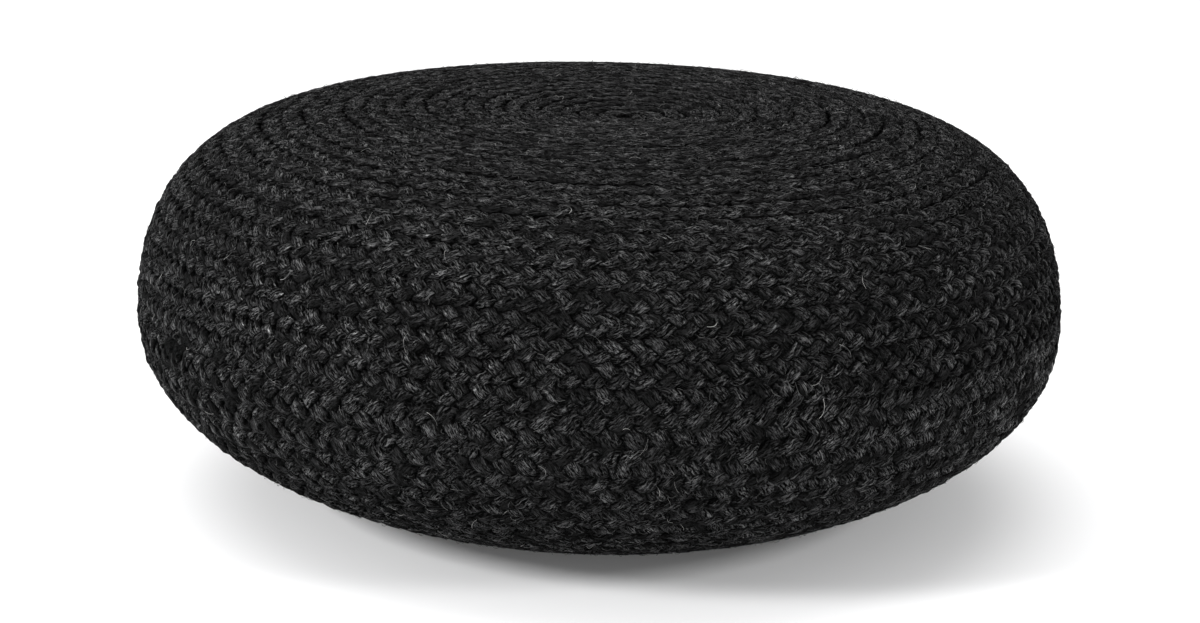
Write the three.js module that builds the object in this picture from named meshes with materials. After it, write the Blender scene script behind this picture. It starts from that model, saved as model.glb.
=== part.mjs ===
// A low, round floor pouf, as one filled body. Its cover is two coils of flat jute plait. One starts in the
// middle of the top and winds out and down to a seam round the side. The other starts in the middle of the
// underside and winds out and up to that seam. Each turn is sewn to the last one edge to edge, so it stands
// up as a ridge between two grooves. Millimetres, +Z up, the front faces -Y and the floor is at Z = 0.

import * as THREE from 'three';

// The body, from its widest level
const WIDEST_RADIUS = 380;
const CROWN_RISE = 172;
const BELLY_DROP = 171;

// The floor presses the belly flat this far below the widest level, which makes the round base.
const BASE_DROP = 154;

// Each half of the side profile is an ellipse whose face is flattened and whose side is filled out: 2 is an
// ellipse, and more is a flatter face or a fuller side.
const CROWN_SHAPE = { face: 5, side: 2.28 };
const BELLY_SHAPE = { face: 2.16, side: 2.04 };

// The two coils: turns of plait, and how much wider the last turn is than the first, as a share of the mean.
// The belly's plait is thicker, and one width throughout.
const CROWN_TURNS = 28.5;
const BELLY_TURNS = 19;
const CROWN_WIDENING = 0.1;

// The seam between the coils runs this far above the widest level.
const SEAM_RISE = 16;

// Grooves between turns, from the crests of the ridges down. They fade out near the rim of the base, which
// is pressed flat, between these two lengths of cover short of it.
const GROOVE_DEPTH = 3.2;
const SEAM_DEPTH = 5;
const GROOVE_FADE = { from: 60, to: 10 };

// The plait is folded over where each coil starts, and the top sinks a little there. That start is off the
// middle of the pouf, to the right and to the front.
const DIMPLE_DEPTH = 7;
const DIMPLE_RADIUS = 75;
const START_RIGHT = 19;
const START_FRONT = 30;

// The filling is packed by hand, so the side is up to this much out of round, in two and in three soft
// lobes that are turned by these angles, in radians.
const UNEVENNESS = 1.6;
const TWO_LOBES_TURN = 0.6;
const THREE_LOBES_TURN = -1.1;

// The two plaits end at the seam at this direction, in degrees anticlockwise from +X, which is the back.
const END_DIRECTION = 75;

// Facets: corners in one turn, and points in the curve that stands for each half of the profile
const CORNERS_ROUND = 50;
const PROFILE_STEPS = 600;

// Rows of corners, two to a turn of the cover. The first and the last lie close round the two middles, and a
// fan of facets closes each. A fan's own middle is drawn out by a share of its radius towards the place where
// the turn is wider, which is this share of the way along the row.
const FIRST_ROW = 1;
const LAST_ROW = 2 * (CROWN_TURNS + BELLY_TURNS) - 3;
const FAN_OFFSET = 0.25;
const TOP_FAN_WIDER = 0.75;
const BASE_FAN_WIDER = 0.25;

// A point of one half of the profile: share 0 is the pole and 1 is the widest level.
function profilePoint(share, rise, shape) {
  const angle = (1 - share) * Math.PI / 2;
  return {
    radius: WIDEST_RADIUS * Math.cos(angle) ** (2 / shape.face),
    height: rise * Math.sin(angle) ** (2 / shape.side),
  };
}

// The whole profile from the middle of the top to the middle of the base, each point with the length of
// cover from the middle of the top to it.
function sideProfile() {
  const points = [];
  for (let step = 0; step <= PROFILE_STEPS; step += 1) {
    points.push(profilePoint((step / PROFILE_STEPS) ** 2, CROWN_RISE, CROWN_SHAPE));
  }
  for (let step = PROFILE_STEPS - 1; step >= 0; step -= 1) {
    const { radius, height } = profilePoint(step / PROFILE_STEPS, BELLY_DROP, BELLY_SHAPE);
    if (height < BASE_DROP) {
      points.push({ radius, height: -height });
    }
  }
  const rimShare = 1 - (BASE_DROP / BELLY_DROP) ** BELLY_SHAPE.side;
  points.push({ radius: WIDEST_RADIUS * rimShare ** (1 / BELLY_SHAPE.face), height: -BASE_DROP });
  points.push({ radius: 0, height: -BASE_DROP });
  let length = 0;
  return points.map((point, index) => {
    const last = points[Math.max(index - 1, 0)];
    length += Math.hypot(point.radius - last.radius, point.height - last.height);
    return { ...point, length };
  });
}

const PROFILE = sideProfile();
const FULL_LENGTH = PROFILE.at(-1).length;
const BASE_RIM_LENGTH = PROFILE.at(-2).length;
const SEAM_LENGTH = PROFILE.find((point) => point.height <= SEAM_RISE).length;

// The profile at a length of cover: its radius, its height and its outward direction.
function profileAt(length) {
  const next = Math.max(1, PROFILE.findIndex((point) => point.length >= Math.min(length, FULL_LENGTH)));
  const from = PROFILE[next - 1];
  const to = PROFILE[next];
  const span = to.length - from.length;
  const share = (Math.min(length, FULL_LENGTH) - from.length) / span;
  return {
    radius: THREE.MathUtils.lerp(from.radius, to.radius, share),
    height: THREE.MathUtils.lerp(from.height, to.height, share),
    outward: (from.height - to.height) / span,
    upward: (to.radius - from.radius) / span,
  };
}

// How far along the cover a turn lies, counted from the start of the top coil.
function lengthAtTurn(turn) {
  if (turn > CROWN_TURNS) {
    const share = (turn - CROWN_TURNS) / BELLY_TURNS;
    return SEAM_LENGTH + share * (FULL_LENGTH - SEAM_LENGTH);
  }
  const share = turn / CROWN_TURNS;
  return SEAM_LENGTH * (share + CROWN_WIDENING * (share ** 3 - share));
}

// The start of the top coil is off the middle: the turns crowd towards it, and the seam stays level.
function shiftedFromMiddle(length, angle) {
  const hold = Math.max(0, 1 - (length / SEAM_LENGTH) ** 2) ** 2;
  const right = length * Math.cos(angle) + START_RIGHT * hold;
  const back = length * Math.sin(angle) - START_FRONT * hold;
  return { length: Math.hypot(right, back), angle: Math.atan2(back, right) };
}

// How deep the cover lies under the crests. Grooves fade out where the base is pressed flat.
function grooveDepth(turn, length, isGroove) {
  if (!isGroove) {
    return 0;
  }
  const short = BASE_RIM_LENGTH - length;
  const flattened = 1 - THREE.MathUtils.smoothstep(short, GROOVE_FADE.to, GROOVE_FADE.from);
  const isSeam = Math.abs(turn - CROWN_TURNS) <= 0.5;
  return (isSeam ? SEAM_DEPTH : GROOVE_DEPTH) * (1 - flattened);
}

// A place on the cover: the share of a turn sets its direction, and the turn how far out it is. The turns go
// round clockwise as seen from above, because both coils are wound that way.
function coverPoint(turn, turnShare, isGroove) {
  const coilAngle = THREE.MathUtils.degToRad(END_DIRECTION) - 2 * Math.PI * turnShare;
  const coilLength = lengthAtTurn(turn);
  const { length, angle } = coilLength < SEAM_LENGTH
    ? shiftedFromMiddle(coilLength, coilAngle)
    : { length: coilLength, angle: coilAngle };
  const { radius, height, outward, upward } = profileAt(length);
  const depth = grooveDepth(turn, length, isGroove);
  const lobes = Math.sin(2 * angle + TWO_LOBES_TURN) + Math.sin(3 * angle + THREE_LOBES_TURN);
  const bulge = UNEVENNESS * outward * lobes / 2;
  const distance = radius + (bulge - depth) * outward;
  const dimple = DIMPLE_DEPTH * Math.exp(-((coilLength / DIMPLE_RADIUS) ** 2));
  const level = Math.max(height - depth * upward - dimple, -BASE_DROP);
  return [distance * Math.cos(angle), distance * Math.sin(angle), level + BASE_DROP];
}

// The facets run along the spiral in rows, two to a turn: crests are odd rows and grooves are even ones. A
// row runs on into the row two further out, so its corner number CORNERS_ROUND is that row's first corner.
function cornerIndex(row, column) {
  const turned = column === CORNERS_ROUND ? row + 2 : row;
  const isPastLast = turned > LAST_ROW;
  return isPastLast
    ? (LAST_ROW - FIRST_ROW + 1) * CORNERS_ROUND + turned - LAST_ROW - 1
    : (turned - FIRST_ROW) * CORNERS_ROUND + column % CORNERS_ROUND;
}

function cornerPositions() {
  const positions = [];
  const addCorner = (row, column) => {
    const turnShare = column / CORNERS_ROUND;
    positions.push(...coverPoint(row / 2 + turnShare, turnShare, row % 2 === 0));
  };
  for (let row = FIRST_ROW; row <= LAST_ROW; row += 1) {
    for (let column = 0; column < CORNERS_ROUND; column += 1) {
      addCorner(row, column);
    }
  }
  addCorner(LAST_ROW + 1, 0);
  addCorner(LAST_ROW + 2, 0);
  return positions;
}

function ridgeFacets() {
  const indices = [];
  for (let row = FIRST_ROW; row < LAST_ROW; row += 1) {
    for (let column = 0; column < CORNERS_ROUND; column += 1) {
      const inner = cornerIndex(row, column);
      const innerNext = cornerIndex(row, column + 1);
      const outer = cornerIndex(row + 1, column);
      const outerNext = cornerIndex(row + 1, column + 1);
      indices.push(inner, innerNext, outerNext, inner, outerNext, outer);
    }
  }
  return indices;
}

// A fan that closes one end of the spiral: once round a row, then back across the open end of the turn. With
// its middle drawn out to the wider side, every facet faces out.
function fanFacets(positions, row, isTop) {
  const loop = [];
  for (let column = 0; column <= CORNERS_ROUND; column += 1) {
    loop.push(cornerIndex(row, column));
  }
  loop.push(cornerIndex(row + 1, 0));
  const widerSide = loop[Math.round(CORNERS_ROUND * (isTop ? TOP_FAN_WIDER : BASE_FAN_WIDER))];
  const [x, y, z] = positions.slice(3 * widerSide, 3 * widerSide + 3);
  const [startX, startY] = isTop ? [START_RIGHT, -START_FRONT] : [0, 0];
  const middle = positions.length / 3;
  positions.push(
    THREE.MathUtils.lerp(startX, x, FAN_OFFSET),
    THREE.MathUtils.lerp(startY, y, FAN_OFFSET),
    z,
  );
  return loop.flatMap((from, index) => {
    const to = loop[(index + 1) % loop.length];
    return isTop ? [middle, to, from] : [middle, from, to];
  });
}

function coilGeometry() {
  const positions = cornerPositions();
  const indices = [
    ...ridgeFacets(),
    ...fanFacets(positions, FIRST_ROW, true),
    ...fanFacets(positions, LAST_ROW, false),
  ];
  const geometry = new THREE.BufferGeometry();
  geometry.setAttribute('position', new THREE.Float32BufferAttribute(positions, 3));
  geometry.setIndex(indices);
  return geometry;
}

// Moves the body so that it stands centred over the origin.
function centred(geometry) {
  geometry.computeBoundingBox();
  const middle = geometry.boundingBox.getCenter(new THREE.Vector3());
  return geometry.translate(-middle.x, -middle.y, 0);
}

// Charcoal-dyed jute: near black, dull and fibrous
function dyedJute() {
  return new THREE.MeshStandardMaterial({ color: 0x2a2a2a, roughness: 0.85, metalness: 0 });
}

function pouf() {
  const body = new THREE.Mesh(centred(coilGeometry()), dyedJute());
  body.name = 'pouf';
  return body;
}

const part = new THREE.Group();
part.add(pouf());

export default part;
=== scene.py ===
"""A low, round floor pouf: two coils of dyed jute plait, sewn round a bag of loose filling."""

import math

import bpy
import numpy as np
from mathutils import Matrix, Vector


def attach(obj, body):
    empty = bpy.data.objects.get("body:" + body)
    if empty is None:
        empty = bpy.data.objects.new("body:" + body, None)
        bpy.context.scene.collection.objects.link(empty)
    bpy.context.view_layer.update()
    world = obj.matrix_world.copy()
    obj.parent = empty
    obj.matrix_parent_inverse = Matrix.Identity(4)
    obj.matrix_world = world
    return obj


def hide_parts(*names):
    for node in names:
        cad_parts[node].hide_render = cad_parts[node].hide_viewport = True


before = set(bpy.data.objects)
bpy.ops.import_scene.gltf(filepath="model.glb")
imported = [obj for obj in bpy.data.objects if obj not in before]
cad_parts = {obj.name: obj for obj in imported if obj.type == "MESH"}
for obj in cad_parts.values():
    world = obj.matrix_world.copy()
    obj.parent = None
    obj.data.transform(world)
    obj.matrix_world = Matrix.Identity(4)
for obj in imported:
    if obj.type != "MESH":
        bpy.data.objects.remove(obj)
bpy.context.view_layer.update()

# The filling is loose beads in a round lining bag of black cotton, packed until the cover over it is tight.
# The floor presses it flat underneath. The top sinks a little where the upper coil of plait starts, which is
# off the middle, to the right and to the front. It shows only as black between the strands.

WIDEST_RADIUS = 0.380
CROWN_RISE = 0.172
BELLY_DROP = 0.171
BASE_DROP = 0.154
CROWN_SHAPE = {"face": 5, "side": 2.28}
BELLY_SHAPE = {"face": 2.16, "side": 2.04}
UNEVENNESS = 0.0016
TWO_LOBES_TURN = 0.6
THREE_LOBES_TURN = -1.1
DIMPLE_DEPTH = 0.007
DIMPLE_RADIUS = 0.075
START_RIGHT = 0.019
START_FRONT = 0.030
CROWN_TURNS = 28.5
BELLY_TURNS = 19
CROWN_WIDENING = 0.1
SEAM_RISE = 0.016
LINING_DEPTH = 0.011
POLE_TURNS = 0.4  # how far from each middle the rings of the round body start


def half_profile(shares, rise, shape):
    """Radius and height of half the side view: share 0 is the pole and 1 the widest level."""
    angles = (1 - shares) * math.pi / 2
    radii = WIDEST_RADIUS * np.cos(angles) ** (2 / shape["face"])
    return radii, rise * np.sin(angles) ** (2 / shape["side"])


def side_profile():
    """The side view from the middle of the top to the middle of the base, at every millimetre of cover."""
    steps = np.linspace(0, 1, 1500)
    crown_radii, crown_heights = half_profile(steps**2, CROWN_RISE, CROWN_SHAPE)
    belly_radii, belly_drops = half_profile(steps[-2::-1], BELLY_DROP, BELLY_SHAPE)
    lifted = belly_drops < BASE_DROP
    rim_share = 1 - (BASE_DROP / BELLY_DROP) ** BELLY_SHAPE["side"]
    rim_radius = WIDEST_RADIUS * rim_share ** (1 / BELLY_SHAPE["face"])
    radii = np.concatenate([crown_radii, belly_radii[lifted], [rim_radius, 0]])
    heights = np.concatenate([crown_heights, -belly_drops[lifted], [-BASE_DROP, -BASE_DROP]])
    lengths = np.concatenate([[0], np.cumsum(np.hypot(np.diff(radii), np.diff(heights)))])
    even = np.linspace(0, lengths[-1], round(lengths[-1] * 1000))
    return even, np.interp(even, lengths, radii), np.interp(even, lengths, heights)


PROFILE_LENGTHS, PROFILE_RADII, PROFILE_HEIGHTS = side_profile()
FULL_LENGTH = PROFILE_LENGTHS[-1]
SEAM_LENGTH = PROFILE_LENGTHS[np.argmax(PROFILE_HEIGHTS <= SEAM_RISE)]


def softened(values, reach=12):
    """Values along the profile, each averaged with those up to that many millimetres away."""
    weights = np.hanning(2 * reach + 1)
    padded = np.pad(values, reach, mode="edge")
    return np.convolve(padded, weights / weights.sum(), mode="valid")


PROFILE_OUTWARD = softened(-np.gradient(PROFILE_HEIGHTS, PROFILE_LENGTHS))
PROFILE_UPWARD = softened(np.gradient(PROFILE_RADII, PROFILE_LENGTHS))


def length_at(turns):
    """How far over the cover a turn lies, counted from the start of the upper coil."""
    shares = turns / CROWN_TURNS
    crown = SEAM_LENGTH * (shares + CROWN_WIDENING * (shares**3 - shares))
    belly = SEAM_LENGTH + (turns - CROWN_TURNS) / BELLY_TURNS * (FULL_LENGTH - SEAM_LENGTH)
    return np.where(turns < CROWN_TURNS, crown, belly)


def cover(turns, angles):
    """The points of the cover at these turns, in these directions round the coil, and the ways out there."""
    coil_lengths = length_at(turns)
    hold = np.maximum(0, 1 - (coil_lengths / SEAM_LENGTH) ** 2) ** 2
    right = coil_lengths * np.cos(angles) + START_RIGHT * hold
    back = coil_lengths * np.sin(angles) - START_FRONT * hold
    lengths = np.hypot(right, back)
    directions = np.arctan2(back, right)
    outward = np.interp(lengths, PROFILE_LENGTHS, PROFILE_OUTWARD)
    upward = np.interp(lengths, PROFILE_LENGTHS, PROFILE_UPWARD)
    size = np.hypot(outward, upward)
    outs = np.stack([outward * np.cos(directions), outward * np.sin(directions), upward], -1)
    lobes = np.sin(2 * directions + TWO_LOBES_TURN) + np.sin(3 * directions + THREE_LOBES_TURN)
    radii = np.interp(lengths, PROFILE_LENGTHS, PROFILE_RADII) + UNEVENNESS * outward**2 * lobes / 2
    dimple = DIMPLE_DEPTH * np.exp(-((coil_lengths / DIMPLE_RADIUS) ** 2))
    heights = np.interp(lengths, PROFILE_LENGTHS, PROFILE_HEIGHTS) + BASE_DROP - dimple
    points = np.stack([radii * np.cos(directions), radii * np.sin(directions), heights], -1)
    return points, outs / size[..., None]


def ringed_mesh(name, depth, rings=80, columns=96):
    """A closed round body that lies a depth under the cover."""
    turns = np.linspace(POLE_TURNS, CROWN_TURNS + BELLY_TURNS - POLE_TURNS, rings)
    angles = np.linspace(0, 2 * math.pi, columns, endpoint=False)
    points, outs = cover(*np.meshgrid(turns, angles, indexing="ij"))
    top, top_out = cover(np.zeros(1), np.zeros(1))
    base, base_out = cover(np.full(1, CROWN_TURNS + BELLY_TURNS), np.zeros(1))
    rounds = (points - depth * outs).reshape(-1, 3)
    places = np.concatenate([rounds, top - depth * top_out, base - depth * base_out])
    ring, column = np.meshgrid(np.arange(rings - 1), np.arange(columns), indexing="ij")
    after = (column + 1) % columns
    here, below = ring * columns, (ring + 1) * columns
    quads = np.stack([here + column, below + column, below + after, here + after], -1)
    last = (rings - 1) * columns
    around = range(columns)
    faces = quads.reshape(-1, 4).tolist()
    faces += [(len(places) - 2, i, (i + 1) % columns) for i in around]
    faces += [(len(places) - 1, last + (i + 1) % columns, last + i) for i in around]
    mesh = bpy.data.meshes.new(name)
    mesh.from_pydata(places.tolist(), [], faces)
    mesh.polygons.foreach_set("use_smooth", [True] * len(mesh.polygons))
    return mesh


class Value:
    """A node's output on which Python arithmetic works: each operator adds the Math node that does it."""

    def __init__(self, port):
        self.port = port

    def maths(self, operation, *values):
        node = self.port.id_data.nodes.new("ShaderNodeMath")
        node.operation = operation
        for port, value in zip(node.inputs, values):
            fill(port, value)
        return Value(node.outputs[0])

    def __add__(self, other):
        return self.maths("ADD", self, other)

    def __radd__(self, other):
        return self.maths("ADD", other, self)

    def __sub__(self, other):
        return self.maths("SUBTRACT", self, other)

    def __rsub__(self, other):
        return self.maths("SUBTRACT", other, self)

    def __mul__(self, other):
        return self.maths("MULTIPLY", self, other)

    def __rmul__(self, other):
        return self.maths("MULTIPLY", other, self)

    def __truediv__(self, other):
        return self.maths("DIVIDE", self, other)

    def __rtruediv__(self, other):
        return self.maths("DIVIDE", other, self)

    def __pow__(self, other):
        return self.maths("POWER", self, other)

    def sine(self):
        return self.maths("SINE", self)

    def cosine(self):
        return self.maths("COSINE", self)

    def whole(self):
        return self.maths("FLOOR", self)

    def at_least(self, other):
        return self.maths("MAXIMUM", self, other)

    def at_most(self, other):
        return self.maths("MINIMUM", self, other)


def fill(port, value):
    """Gives an input its value, or links a node's output to it."""
    if isinstance(value, Value):
        port.id_data.links.new(value.port, port)
    else:
        port.default_value = value


class Bench:
    """A node tree, and the one way in which nodes are put into it."""

    def __init__(self, tree):
        self.tree = tree

    def node(self, kind, settings=None, sockets=None, out=0):
        """Adds a node: its settings, then the values or links of its sockets. Gives one of its outputs."""
        node = self.tree.nodes.new(kind)
        for name, value in (settings or {}).items():
            setattr(node, name, value)
        for name, value in (sockets or {}).items():
            shown = [port for port in node.inputs if port.enabled and port.name == name]
            fill(shown[0], value)
        shown = [port for port in node.outputs if port.enabled]
        if isinstance(out, str):
            return Value(next(port for port in shown if port.name == out))
        return Value(shown[out])

    def vector(self, operation, *values):
        """A Vector Math node on these values."""
        node = self.tree.nodes.new("ShaderNodeVectorMath")
        node.operation = operation
        ports = [port for port in node.inputs if port.enabled]
        for port, value in zip(ports, values):
            fill(port, value)
        return Value(next(port for port in node.outputs if port.enabled))

    def point(self, x, y, z):
        """A vector with these parts."""
        return self.node("ShaderNodeCombineXYZ", sockets={"X": x, "Y": y, "Z": z})

    def parts(self, vector):
        """A vector's three parts."""
        node = self.tree.nodes.new("ShaderNodeSeparateXYZ")
        fill(node.inputs[0], vector)
        return [Value(port) for port in node.outputs]

    def mixed(self, share, first, second):
        """A colour between two others, at this share of the way, which is kept within 0 and 1."""
        settings = {"data_type": "RGBA", "clamp_factor": True}
        return self.node("ShaderNodeMix", settings, {"Factor": share, "A": first, "B": second})


def new_material(name):
    """A material with an empty Principled shader, its bench and that shader's node."""
    material = bpy.data.materials.new(name)
    material.use_nodes = True
    return material, Bench(material.node_tree), material.node_tree.nodes["Principled BSDF"]


def black_cotton():
    """Plain woven black cotton, with its threads about a millimetre apart."""
    radians_to_a_metre = 3100
    material, bench, shader = new_material("black_cotton")
    place = bench.node("ShaderNodeTexCoord", out="Object")
    x, y, z = bench.parts(place)
    weave = (x * radians_to_a_metre).sine() * ((y + z) * radians_to_a_metre).sine()
    fill(shader.inputs["Base Color"], (0.004, 0.004, 0.0042, 1))
    fill(shader.inputs["Roughness"], 0.95)
    fill(shader.inputs["Specular IOR Level"], 0.1)
    bump = bench.node("ShaderNodeBump", sockets={"Height": weave, "Distance": 0.0003, "Strength": 0.6})
    fill(shader.inputs["Normal"], bump)
    return material


def placed(name, mesh):
    """An object for a finished mesh, which rides on the pouf and stands for its CAD solid."""
    piece = bpy.data.objects.new(name, mesh)
    bpy.context.scene.collection.objects.link(piece)
    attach(piece, "root")
    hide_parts("pouf")
    return piece


filling_mesh = ringed_mesh("filling", LINING_DEPTH)
filling_mesh.materials.append(black_cotton())
filling = placed("filling", filling_mesh)

# The cover is flat plait of three strands of jute, each a loose, untwisted bundle of fibre dyed charcoal. The
# upper coil starts in the middle of the top and winds clockwise out and down to the seam. Each strand is laid
# in lengths, and each new length is tucked in where it passes under the others, out of sight.

UPPER_LOBE = 0.0163
RINGS_TO_A_LOBE = 5.34
END_DIRECTION = math.radians(75)
UPPER_CUTS = (18.0, 23.5)
PLUMPNESS_TURNS = (0, 16, 20, 23, 28, 33, 38)
PLUMPNESS = (0.15, 0.2, 0.35, 0.65, 0.85, 0.72, 0.3)
PATH_STEPS = 60000

# How far the plait strays, and the reach of each waver: shares of pace and of breadth, and metres sideways.
PACE_STRAY = (0.10, 0.11)
SHORT_PACE_STRAY = (0.05, 0.03)
SIDE_STRAY = (0.0013, 0.06)
BREADTH_STRAY = (0.03, 0.05)

# How unevenly each strand lies: by how much, the reach of the waver, and a shift that keeps the wavers apart.
STRAND_STRAY = {
    "sideways": (0.0009, 0.012, 3.1),
    "width": (0.13, 0.011, 23.9),
    "thickness": (0.12, 0.013, 41.3),
    "drop": (0.0007, 0.014, 11.7),
    "tilt": (0.22, 0.012, 57.7),
}
STRAND_SHIFT = 37.7
NOISE_TO_WAVER = 3.2

# A strand's section has six corners, and a seventh on the first that closes it. They stand 48 degrees apart
# round the side that shows, from 30 below its edge, and 120 degrees apart at the back.
SECTION_POINTS = 7
CORNER_STEP = 48
FIRST_CORNER_BELOW = 30
BACK_STEP_MORE = 72
ROUNDING = 0.75
RING_TO_GIRTH = 0.167  # the length of one ring of faces as a share of the way round it, for a square map
MAP_STEP = 0.18
MAP_BACK_STEP_LESS = 0.08
TWIST_LENGTH = 0.16
FLOOR_GAP = 0.0003
WELD = 0.000002


def waver(lengths, reach, random):
    """A smooth random waver along a length, from -1 to 1, whose swings are about a reach long."""
    knots = random.uniform(-1, 1, int(lengths[-1] / reach) + 3)
    whole = (lengths / reach).astype(int)
    part = lengths / reach - whole
    blend = part * part * (3 - 2 * part)
    return knots[whole] * (1 - blend) + knots[whole + 1] * blend


def plait_path(first, last, lobe, seed):
    """The middle line of a plait between two turns, as even rings: where each lies and how it is turned."""
    random = np.random.default_rng(seed)
    travelled = np.linspace(first, last, PATH_STEPS)
    points, _ = cover(0.5 + travelled, END_DIRECTION - 2 * math.pi * travelled)
    lengths = np.concatenate([[0], np.cumsum(np.linalg.norm(np.diff(points, axis=0), axis=1))])
    count = round(lengths[-1] / lobe * RINGS_TO_A_LOBE)
    along = np.linspace(0, lengths[-1], count)
    travelled = np.interp(along, lengths, travelled)
    angles = END_DIRECTION - 2 * math.pi * travelled
    middles, outs = cover(0.5 + travelled, angles)
    inner, _ = cover(travelled, angles)
    outer, _ = cover(1.0 + travelled, angles)
    ahead = np.gradient(middles, axis=0)
    across = np.cross(outs, ahead)
    across /= np.linalg.norm(across, axis=1)[:, None]
    outs = np.cross(ahead, across)
    outs /= np.linalg.norm(outs, axis=1)[:, None]

    def stray(amount, reach):
        return amount * waver(along, reach, random)

    pace = 1 + stray(*PACE_STRAY) + stray(*SHORT_PACE_STRAY)
    phase = np.cumsum(pace) * (along[1] - along[0]) * 2 * math.pi / (3 * lobe)
    middles = middles + across * stray(*SIDE_STRAY)[:, None]
    return {
        "position": middles,
        "out": outs,
        "across": across,
        "breadth": np.linalg.norm(outer - inner, axis=1) * (1 + stray(*BREADTH_STRAY)),
        "along": along,
        "phase": phase,
        "plumpness": np.interp(travelled, PLUMPNESS_TURNS, PLUMPNESS),
        "travelled": travelled,
    }


def path_mesh(path, rings):
    """A run of rings of a path, as loose points that carry what the path says of each."""
    mesh = bpy.data.meshes.new("rings")
    mesh.from_pydata(path["position"][rings].tolist(), [], [])
    for name in ("out", "across"):
        told = mesh.attributes.new(name, "FLOAT_VECTOR", "POINT")
        told.data.foreach_set("vector", path[name][rings].ravel())
    for name in ("breadth", "along", "phase", "plumpness"):
        told = mesh.attributes.new(name, "FLOAT", "POINT")
        told.data.foreach_set("value", path[name][rings])
    return mesh


def new_tree(name, inputs):
    """An empty geometry tree with these inputs, its bench, and its inputs' values by name."""
    tree = bpy.data.node_groups.new(name, "GeometryNodeTree")
    tree.interface.new_socket("Geometry", in_out="INPUT", socket_type="NodeSocketGeometry")
    for label, kind in inputs.items():
        tree.interface.new_socket(label, in_out="INPUT", socket_type="NodeSocket" + kind)
    tree.interface.new_socket("Geometry", in_out="OUTPUT", socket_type="NodeSocketGeometry")
    entry = tree.nodes.new("NodeGroupInput")
    return Bench(tree), {port.name: Value(port) for port in entry.outputs if port.name}


def finished(bench, geometry, material):
    """The end of each tree: copies are made real, and the material is set."""
    real = bench.node("GeometryNodeRealizeInstances", sockets={"Geometry": geometry})
    coloured = bench.node("GeometryNodeSetMaterial", sockets={"Geometry": real, "Material": material})
    fill(bench.tree.nodes.new("NodeGroupOutput").inputs[0], coloured)


def grown(name, mesh, tree, values):
    """The plain mesh that a tree makes of another, with these inputs. Only the tree's own material stays."""
    carrier = bpy.data.objects.new(name, mesh)
    bpy.context.scene.collection.objects.link(carrier)
    modifier = carrier.modifiers.new(tree.name, "NODES")
    modifier.node_group = tree
    for item in tree.interface.items_tree:
        if item.in_out == "INPUT" and item.name in values:
            modifier[item.identifier] = values[item.name]
    depsgraph = bpy.context.evaluated_depsgraph_get()
    made = bpy.data.meshes.new_from_object(
        carrier.evaluated_get(depsgraph), preserve_all_data_layers=True, depsgraph=depsgraph
    )
    bpy.data.objects.remove(carrier)
    bpy.data.meshes.remove(mesh)
    while len(made.materials) > 1:
        made.materials.pop(index=0)
    made.polygons.foreach_set("material_index", [0] * len(made.polygons))
    return made


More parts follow.
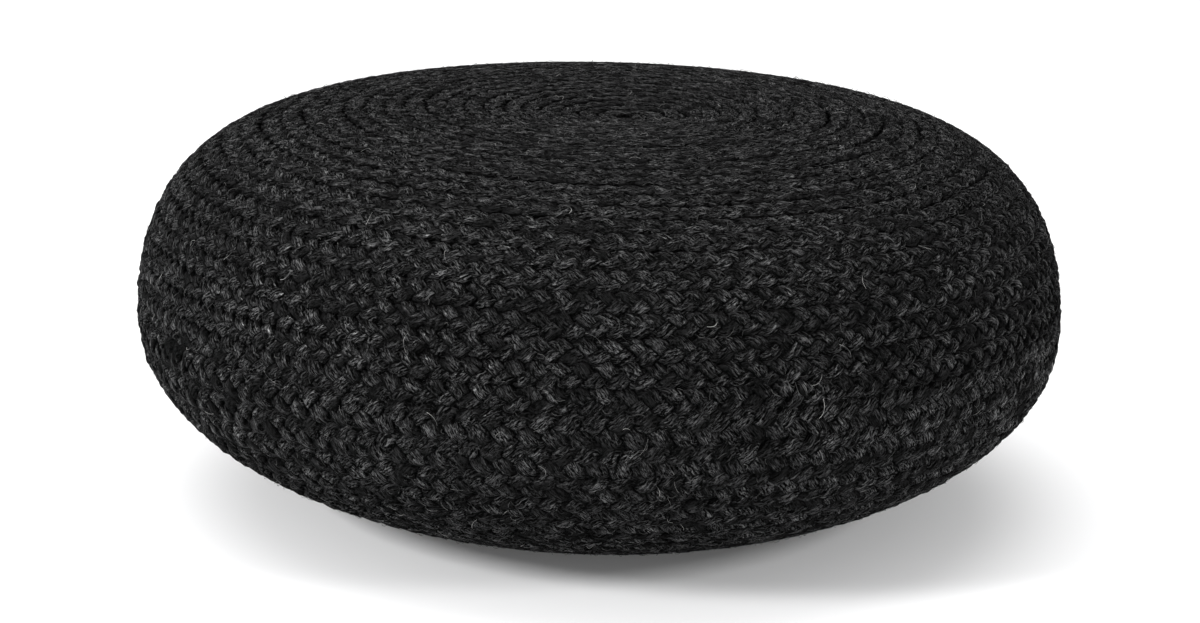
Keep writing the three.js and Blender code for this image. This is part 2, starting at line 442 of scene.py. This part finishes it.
def strand_tree(material):
    """Lays one strand along a path of rings. It swings from edge to edge, over and under the other two."""
    bench, given = new_tree(
        "plait_strand",
        {
            "Strand": "Float",
            "Lobe pitch": "Float",
            "Swing": "Float",
            "Lift": "Float",
            "Half width": "Float",
            "Half thickness": "Float",
            "Groove": "Float",
            "Tilt": "Float",
            "Rings to a strip": "Float",
            "Strips": "Float",
        },
    )
    path = given["Geometry"]
    count = bench.node(
        "GeometryNodeAttributeDomainSize", {"component": "MESH"}, {"Geometry": path}, "Point Count"
    )
    index = bench.node("GeometryNodeInputIndex")
    ring = ((index + 0.5) / SECTION_POINTS).whole()
    side = index - ring * SECTION_POINTS
    at_back = (side - (SECTION_POINTS - 2)).at_least(0)

    def of_ring(kind, value):
        """What the path says of this ring."""
        settings = {"data_type": kind, "domain": "POINT"}
        sockets = {"Geometry": path, "Value": value, "Index": ring}
        return bench.node("GeometryNodeSampleIndex", settings, sockets)

    def said(kind, name):
        """A named attribute of the path at this ring."""
        told = bench.node("GeometryNodeInputNamedAttribute", {"data_type": kind}, {"Name": name})
        return of_ring(kind, told)

    middle = of_ring("FLOAT_VECTOR", bench.node("GeometryNodeInputPosition"))
    out, across = said("FLOAT_VECTOR", "out"), said("FLOAT_VECTOR", "across")
    breadth, along = said("FLOAT", "breadth"), said("FLOAT", "along")
    path_phase, plump = said("FLOAT", "phase"), said("FLOAT", "plumpness")
    ahead = bench.vector("CROSS_PRODUCT", across, out)

    def uneven(what):
        """A random waver along this strand."""
        amount, reach, shift = STRAND_STRAY[what]
        place = along / reach + given["Strand"] * STRAND_SHIFT + shift
        sockets = {"W": place, "Scale": 1.0, "Detail": 0.0}
        noise = bench.node("ShaderNodeTexNoise", {"noise_dimensions": "1D"}, sockets, "Fac")
        return amount * ((noise - 0.5) * NOISE_TO_WAVER)

    def rounded(value):
        """A sine or cosine made fuller, for a section with flatter sides than an ellipse."""
        return value.maths("SIGN", value) * value.maths("ABSOLUTE", value) ** ROUNDING

    phase = path_phase + given["Strand"] * (2 * math.pi / 3)
    sway = phase.sine()
    lay = given["Lift"] / given["Lift"].maths("ABSOLUTE", given["Lift"])
    over = (phase * 2).sine() * lay
    swing = breadth * given["Swing"] * (0.55 + 0.45 * plump)
    sideways = swing * (sway - 0.08 * (phase * 3).sine()) + uneven("sideways")
    slope = swing * (phase.cosine() - 0.24 * (phase * 3).cosine()) * (2 * math.pi / 3) / given["Lobe pitch"]
    from_end = ring.at_most(count - 1 - ring)
    taper = (from_end / 4).at_most(1) ** 0.5
    full_width = breadth * given["Half width"] * (0.75 + 0.25 * plump)
    half_width = full_width * (1 + 0.13 * over + uneven("width")) * taper
    full_thickness = given["Half thickness"] * (0.5 + 0.5 * plump)
    half_thickness = full_thickness * (1 + uneven("thickness")) * taper
    drop = (given["Lift"] * lay * (1 - over) + uneven("drop")) * plump
    tilt = (given["Tilt"] * sway * sway * sway + uneven("tilt")) * plump * plump

    turned = (side * CORNER_STEP - FIRST_CORNER_BELOW + at_back * BACK_STEP_MORE) * (math.pi / 180)
    x = rounded(turned.cosine()) * half_width * -1
    y = rounded(turned.sine()) * half_thickness
    size = (1 + slope * slope) ** 0.5
    beside_across = bench.vector("SCALE", across, 1 / size)
    beside = bench.vector("ADD", beside_across, bench.vector("SCALE", ahead, slope / size * -1))
    beside_share = tilt.cosine() * x + tilt.sine() * y
    from_middle = (sideways + beside_share / size) / breadth * 2
    roundness = (from_middle * from_middle).at_most(1.35)
    sunk = half_thickness * 0.95 + drop + given["Groove"] * plump * roundness * roundness * roundness
    out_share = tilt.cosine() * y - tilt.sine() * x - sunk
    place = bench.vector("ADD", middle, bench.vector("SCALE", across, sideways))
    place = bench.vector("ADD", place, bench.vector("SCALE", beside, beside_share))
    place = bench.vector("ADD", place, bench.vector("SCALE", out, out_share))
    east, north, up = bench.parts(place)
    place = bench.point(east, north, up.at_least(FLOOR_GAP))

    sheet = {"Size X": 1.0, "Size Y": 1.0, "Vertices X": count, "Vertices Y": SECTION_POINTS}
    grid = bench.node("GeometryNodeMeshGrid", sockets=sheet)
    laid = bench.node("GeometryNodeSetPosition", sockets={"Geometry": grid, "Position": place})

    twist = along * (2 * math.pi / TWIST_LENGTH)
    fibre = bench.point(
        along * 1.2 + given["Strand"] * 41.0 + given["Lift"] * 9000,
        twist.cosine() * x + twist.sine() * y,
        twist.cosine() * y - twist.sine() * x,
    )
    laid = bench.node(
        "GeometryNodeStoreNamedAttribute",
        {"data_type": "FLOAT_VECTOR", "domain": "POINT"},
        {"Geometry": laid, "Name": "fibre_place", "Value": fibre},
    )
    # Painted shade and highlight, stored as crown for the colour: lightest on each lobe's crown, darker
    # towards the strand's edges, where it dives under the other two, and towards the grooves between rows.
    edge_shade_mask = turned.cosine() * turned.cosine()
    groove_shade_mask = roundness * roundness * roundness * (0.02 + 0.2 * plump)
    top = 1 - edge_shade_mask * edge_shade_mask * (0.6 + 0.4 * plump)
    above = 1 - (0.1 + 0.16 * plump) * (1 - over)
    crown = top * above * (1 - groove_shade_mask).at_least(0.0)
    laid = bench.node(
        "GeometryNodeStoreNamedAttribute",
        {"data_type": "FLOAT", "domain": "POINT"},
        {"Geometry": laid, "Name": "crown", "Value": crown},
    )

    def on(domain, value):
        """A value as it is on the points or on the faces."""
        settings = {"data_type": "FLOAT", "domain": domain}
        return bench.node("GeometryNodeFieldOnDomain", settings, {"Value": value})

    face_ring = ((bench.node("GeometryNodeInputIndex") + 0.5) / (SECTION_POINTS - 1)).whole()
    strip = on("FACE", (face_ring / given["Rings to a strip"] + 0.0001).whole())
    round_share = side * MAP_STEP - at_back * MAP_BACK_STEP_LESS
    map_across = (on("POINT", ring) - strip * given["Rings to a strip"]) / given["Rings to a strip"]
    map_up = (strip + 0.03 + 0.94 * on("POINT", round_share)) / given["Strips"]
    laid = bench.node(
        "GeometryNodeStoreNamedAttribute",
        {"data_type": "FLOAT2", "domain": "CORNER"},
        {"Geometry": laid, "Name": "OFBake", "Value": bench.point(map_across, map_up, 0.0)},
    )
    closed = bench.node("GeometryNodeMergeByDistance", sockets={"Geometry": laid, "Distance": WELD})
    smooth = bench.node("GeometryNodeSetShadeSmooth", sockets={"Geometry": closed, "Shade Smooth": True})
    finished(bench, smooth, material)
    return bench.tree


def charcoal_jute():
    """Charcoal-dyed jute: matted fibre along the strand, with painted shade that turns it black in its
    hollows and painted highlights in streaks here and there.
    """
    material, bench, shader = new_material("charcoal_jute")
    place = bench.node("ShaderNodeAttribute", {"attribute_name": "fibre_place"}, out="Vector")
    along, x, y = bench.parts(place)

    def grain(length, width, detail, distortion=0.0):
        """Noise whose grains are this long along the strand and this wide across it."""
        at = bench.point(along / length, x / width, y / width)
        sockets = {"Vector": at, "Scale": 1.0, "Detail": detail, "Roughness": 0.85, "Distortion": distortion}
        return bench.node("ShaderNodeTexNoise", {"noise_dimensions": "3D"}, sockets, "Fac")

    # Patches where the painted highlights and the coat fall.
    glint_patches = grain(0.022, 0.010, 0.0)
    fibres = grain(0.0090, 0.0019, 2.0, 0.9)
    fuzz = grain(0.0042, 0.0008, 1.0, 1.0)
    relief = fibres * 0.4 + fuzz * 0.6
    # crown is painted shade: 1 on the lobe crowns, falling towards the strand's edges, the grooves and where
    # the strand dives under.
    crown = bench.node("ShaderNodeAttribute", {"attribute_name": "crown"}, out="Fac")
    contrast = 7.5
    # Fibre tone times the painted shade, from the black of the hollows to the dyed colour.
    body = (0.66 + (relief - 0.5) * contrast) * crown
    # Painted highlight: bright streaks in patches on the lobe crowns, mixed towards a pale glint colour; the
    # same mask lays a clear coat on them.
    painted_glint_and_coat = (relief - 0.51) * contrast * ((glint_patches - 0.28) * 3.0).at_least(0.0) * crown * crown
    # Black for the painted shade and the darkest fibre, the dyed jute, and the pale colour of the painted
    # glints.
    dark_fibre_and_shade, dyed, painted_glint_colour = (0.0005, 0.0005, 0.0005, 1), (0.0112, 0.0112, 0.0114, 1), (0.09, 0.09, 0.0913, 1)
    tone = bench.mixed(painted_glint_and_coat, bench.mixed(body, dark_fibre_and_shade, dyed), painted_glint_colour)
    fill(shader.inputs["Base Color"], tone)
    fill(shader.inputs["Roughness"], 0.62 - 0.25 * fibres)
    fill(shader.inputs["Specular IOR Level"], 0.0)
    fill(shader.inputs["Coat Weight"], (painted_glint_and_coat * 0.6).at_least(0.0).at_most(1.0))
    fill(shader.inputs["Coat Roughness"], 0.32)
    bump = bench.node("ShaderNodeBump", sockets={"Height": relief, "Distance": 0.0014, "Strength": 1.0})
    fill(shader.inputs["Normal"], bump)
    return material


def cut_rings(path, strand, lift, turns):
    """The rings at which a strand's lengths meet, each where that strand passes under the others."""
    hidden = 0.75 * math.pi if lift > 0 else 0.25 * math.pi
    phases = path["phase"] + strand * 2 * math.pi / 3
    under = np.flatnonzero(np.diff(np.floor((phases - hidden) / math.pi)) > 0)
    wanted = np.searchsorted(path["travelled"], turns)
    return [0, *(under[np.argmin(np.abs(under - ring))] for ring in wanted), len(phases)]


def lay_plait(name, path, lift, sizes, turns):
    """Lays the three strands of a coil, each in several lengths that meet at about these turns."""
    for strand in range(3):
        cuts = cut_rings(path, strand, lift, turns)
        for number, (start, stop) in enumerate(zip(cuts, cuts[1:])):
            rings = slice(start, min(stop + 1, len(path["along"])))
            faces = rings.stop - start - 1
            to_a_strip = math.ceil(math.sqrt(faces / RING_TO_GIRTH))
            values = {
                "Strand": float(strand),
                "Lift": lift,
                "Rings to a strip": float(to_a_strip),
                "Strips": float(math.ceil(faces / to_a_strip)),
                **sizes,
            }
            mesh = grown("rings", path_mesh(path, rings), strand_nodes, values)
            placed(f"{name}_strand_{strand + 1}_length_{number + 1}", mesh)


strand_nodes = strand_tree(charcoal_jute())
upper_path = plait_path(first=0.0, last=28.0, lobe=UPPER_LOBE, seed=11)
UPPER_SIZES = {
    "Lobe pitch": UPPER_LOBE,
    "Swing": 0.43,
    "Half width": 0.335,
    "Half thickness": 0.0038,
    "Groove": 0.0015,
    "Tilt": 0.72,
}
lay_plait("upper_plait", upper_path, lift=0.0022, sizes=UPPER_SIZES, turns=UPPER_CUTS)

# The lower coil is wider, thicker plait of the same jute. It starts in the middle of the underside and winds
# clockwise, as seen from there, out and up to the seam, so its lobes point the other way on the side.

LOWER_LOBE = 0.0175
LOWER_CUTS = (33.5, 38.5)
lower_path = plait_path(first=28.0, last=46.4, lobe=LOWER_LOBE, seed=23)
LOWER_SIZES = {
    "Lobe pitch": LOWER_LOBE,
    "Swing": 0.43,
    "Half width": 0.335,
    "Half thickness": 0.0044,
    "Groove": 0.0009,
    "Tilt": 0.45,
}
lay_plait("lower_plait", lower_path, lift=-0.0021, sizes=LOWER_SIZES, turns=LOWER_CUTS)

# Loose fibres that work out of the plait all over: a nap of short dark ends, and here and there a longer hair
# that took less dye and springs up in a low arch.


def fibre_tree(name, material):
    """Scatters arched fibres over a surface, each turned at random and with its own length and rise."""
    bench, given = new_tree(
        name,
        {
            "Number to a square metre": "Float",
            "Clear of the floor": "Float",
            "Seed": "Int",
            "Length": "Float",
            "Rise": "Float",
            "Thickness": "Float",
            "Bends": "Int",
        },
    )
    height = bench.parts(bench.node("GeometryNodeInputPosition"))[2]
    scattered = bench.node(
        "GeometryNodeDistributePointsOnFaces",
        {"distribute_method": "RANDOM"},
        {
            "Mesh": given["Geometry"],
            "Selection": height.maths("GREATER_THAN", height, given["Clear of the floor"]),
            "Density": given["Number to a square metre"],
            "Seed": given["Seed"],
        },
        "Points",
    )
    upright = Value(scattered.port.node.outputs["Rotation"])

    def random(least, most, seed):
        """Three random numbers for each fibre, between these."""
        sockets = {"Min": least, "Max": most, "Seed": seed}
        return bench.node("FunctionNodeRandomValue", {"data_type": "FLOAT_VECTOR"}, sockets)

    angles = random((-0.2, -0.2, -math.pi), (0.2, 0.2, math.pi), 3)
    turn = bench.node("FunctionNodeEulerToRotation", sockets={"Euler": angles})
    turning = {"Rotation": upright, "Rotate By": turn}
    way = bench.node("FunctionNodeRotateRotation", {"rotation_space": "LOCAL"}, turning)
    bow = bench.node(
        "GeometryNodeCurveQuadraticBezier",
        sockets={
            "Resolution": given["Bends"],
            "Start": bench.point(given["Length"] * -0.5, 0.0, -0.0006),
            "Middle": bench.point(given["Length"] * 0.1, given["Length"] * 0.35, given["Rise"] * 2),
            "End": bench.point(given["Length"] * 0.5, 0.0, 0.0),
        },
    )
    three_sided = {"Resolution": 3, "Radius": given["Thickness"] * 0.5}
    section = bench.node("GeometryNodeCurvePrimitiveCircle", {"mode": "RADIUS"}, three_sided)
    drawn = {"Curve": bow, "Profile Curve": section, "Fill Caps": True}
    tube = bench.node("GeometryNodeCurveToMesh", sockets=drawn)
    strewn = bench.node(
        "GeometryNodeInstanceOnPoints",
        sockets={
            "Points": scattered,
            "Instance": tube,
            "Rotation": way,
            "Scale": random((0.4, 0.4, 0.2), (1.5, 1.5, 1.3), 8),
        },
    )
    finished(bench, strewn, material)
    return bench.tree


def loose_fibre(name, dark, pale):
    """Jute fibre that took the dye unevenly, from a dark shade to a pale one within a few millimetres."""
    material, bench, shader = new_material(name)
    place = bench.node("ShaderNodeTexCoord", out="Object")
    sockets = {"Vector": place, "Scale": 160.0, "Detail": 0.0}
    dyed = bench.node("ShaderNodeTexNoise", {"noise_dimensions": "3D"}, sockets, "Fac")
    shade = bench.mixed((dyed - 0.35) * 3.3, (dark, dark, dark, 1), (pale, pale * 0.99, pale * 0.97, 1))
    fill(shader.inputs["Base Color"], shade)
    fill(shader.inputs["Roughness"], 0.6)
    fill(shader.inputs["Specular IOR Level"], 0.2)
    return material


NAP = {
    "Number to a square metre": 3200.0,
    "Clear of the floor": 0.008,
    "Seed": 4,
    "Length": 0.006,
    "Rise": 0.0014,
    "Thickness": 0.0003,
    "Bends": 3,
}
HAIR = {
    "Number to a square metre": 230.0,
    "Clear of the floor": 0.012,
    "Seed": 9,
    "Length": 0.010,
    "Rise": 0.0012,
    "Thickness": 0.00022,
    "Bends": 8,
}
nap_nodes = fibre_tree("nap", loose_fibre("nap_fibre", dark=0.01, pale=0.07))
hair_nodes = fibre_tree("stray_hair", loose_fibre("pale_fibre", dark=0.08, pale=0.42))
placed("nap", grown("nap", ringed_mesh("cover", 0), nap_nodes, NAP))
placed("stray_hairs", grown("stray_hairs", ringed_mesh("cover", 0), hair_nodes, HAIR))

# The floor, the lamps and the camera: a plain white floor under a soft, even light from above, with a softbox
# at the front on each side, seen from a little above.

PHOTO_WIDTH = 1200
FOCAL_PIXELS = 2727
CAMERA_RISE = math.radians(14.5)
CAMERA_DISTANCE = 2.28
CAMERA_ROLL = 0.0219
AIM_HEIGHT = 0.147
FLOOR_REACH = 14
LAMP_AIM = (0, 0, 0.15)


def white_floor():
    """Matt white, which glows a little so that the shadow under the pouf stays soft."""
    material, bench, shader = new_material("white_floor")
    fill(shader.inputs["Base Color"], (0.9, 0.9, 0.905, 1))
    fill(shader.inputs["Emission Color"], (1, 1, 1, 1))
    fill(shader.inputs["Emission Strength"], 0.07)
    fill(shader.inputs["Roughness"], 0.9)
    fill(shader.inputs["Specular IOR Level"], 0.0)
    return material


floor_mesh = bpy.data.meshes.new("floor")
corners = [(x * FLOOR_REACH, y * FLOOR_REACH, 0) for x, y in ((-1, -1), (1, -1), (1, 1), (-1, 1))]
floor_mesh.from_pydata(corners, [], [(0, 1, 2, 3)])
floor_mesh.materials.append(white_floor())
floor = bpy.data.objects.new("floor", floor_mesh)
bpy.context.scene.collection.objects.link(floor)


def lamp(name, place, aim, size, power):
    """A square softbox that faces a point."""
    light = bpy.data.lights.new(name, "AREA")
    light.shape, light.size, light.energy = "SQUARE", size, power
    holder = bpy.data.objects.new(name, light)
    bpy.context.scene.collection.objects.link(holder)
    way = Vector(aim) - Vector(place)
    holder.matrix_world = Matrix.Translation(place) @ way.to_track_quat("-Z", "Y").to_matrix().to_4x4()


lamp("left", place=(-1.9, -1.4, 1.2), aim=LAMP_AIM, size=0.5, power=60)
lamp("right", place=(1.9, -1.4, 1.2), aim=LAMP_AIM, size=0.5, power=28)

sky = bpy.data.lights.new("ceiling", "SUN")
sky.energy, sky.angle = 1.8, math.radians(70)
ceiling = bpy.data.objects.new("ceiling", sky)
bpy.context.scene.collection.objects.link(ceiling)
ceiling.matrix_world = Matrix.Rotation(math.radians(-7), 4, "Y") @ Matrix.Rotation(math.radians(-15), 4, "X")

world = bpy.data.worlds.new("studio")
bpy.context.scene.world = world
world.use_nodes = True
fill(world.node_tree.nodes["Background"].inputs["Color"], (1, 1, 1, 1))
fill(world.node_tree.nodes["Background"].inputs["Strength"], 0.62)
bpy.context.scene.view_settings.view_transform = "Standard"

camera_data = bpy.data.cameras.new("camera")
camera_data.sensor_fit = "HORIZONTAL"
camera_data.sensor_width = 36
camera_data.lens = FOCAL_PIXELS / PHOTO_WIDTH * camera_data.sensor_width
camera = bpy.data.objects.new("camera", camera_data)
bpy.context.scene.collection.objects.link(camera)
eye = Vector((0, -math.cos(CAMERA_RISE), math.sin(CAMERA_RISE))) * CAMERA_DISTANCE + Vector((0, 0, BASE_DROP))
gaze = (Vector((0, 0, AIM_HEIGHT)) - eye).to_track_quat("-Z", "Y").to_matrix().to_4x4()
camera.matrix_world = Matrix.Translation(eye) @ gaze @ Matrix.Rotation(CAMERA_ROLL, 4, "Z")
bpy.context.scene.camera = camera
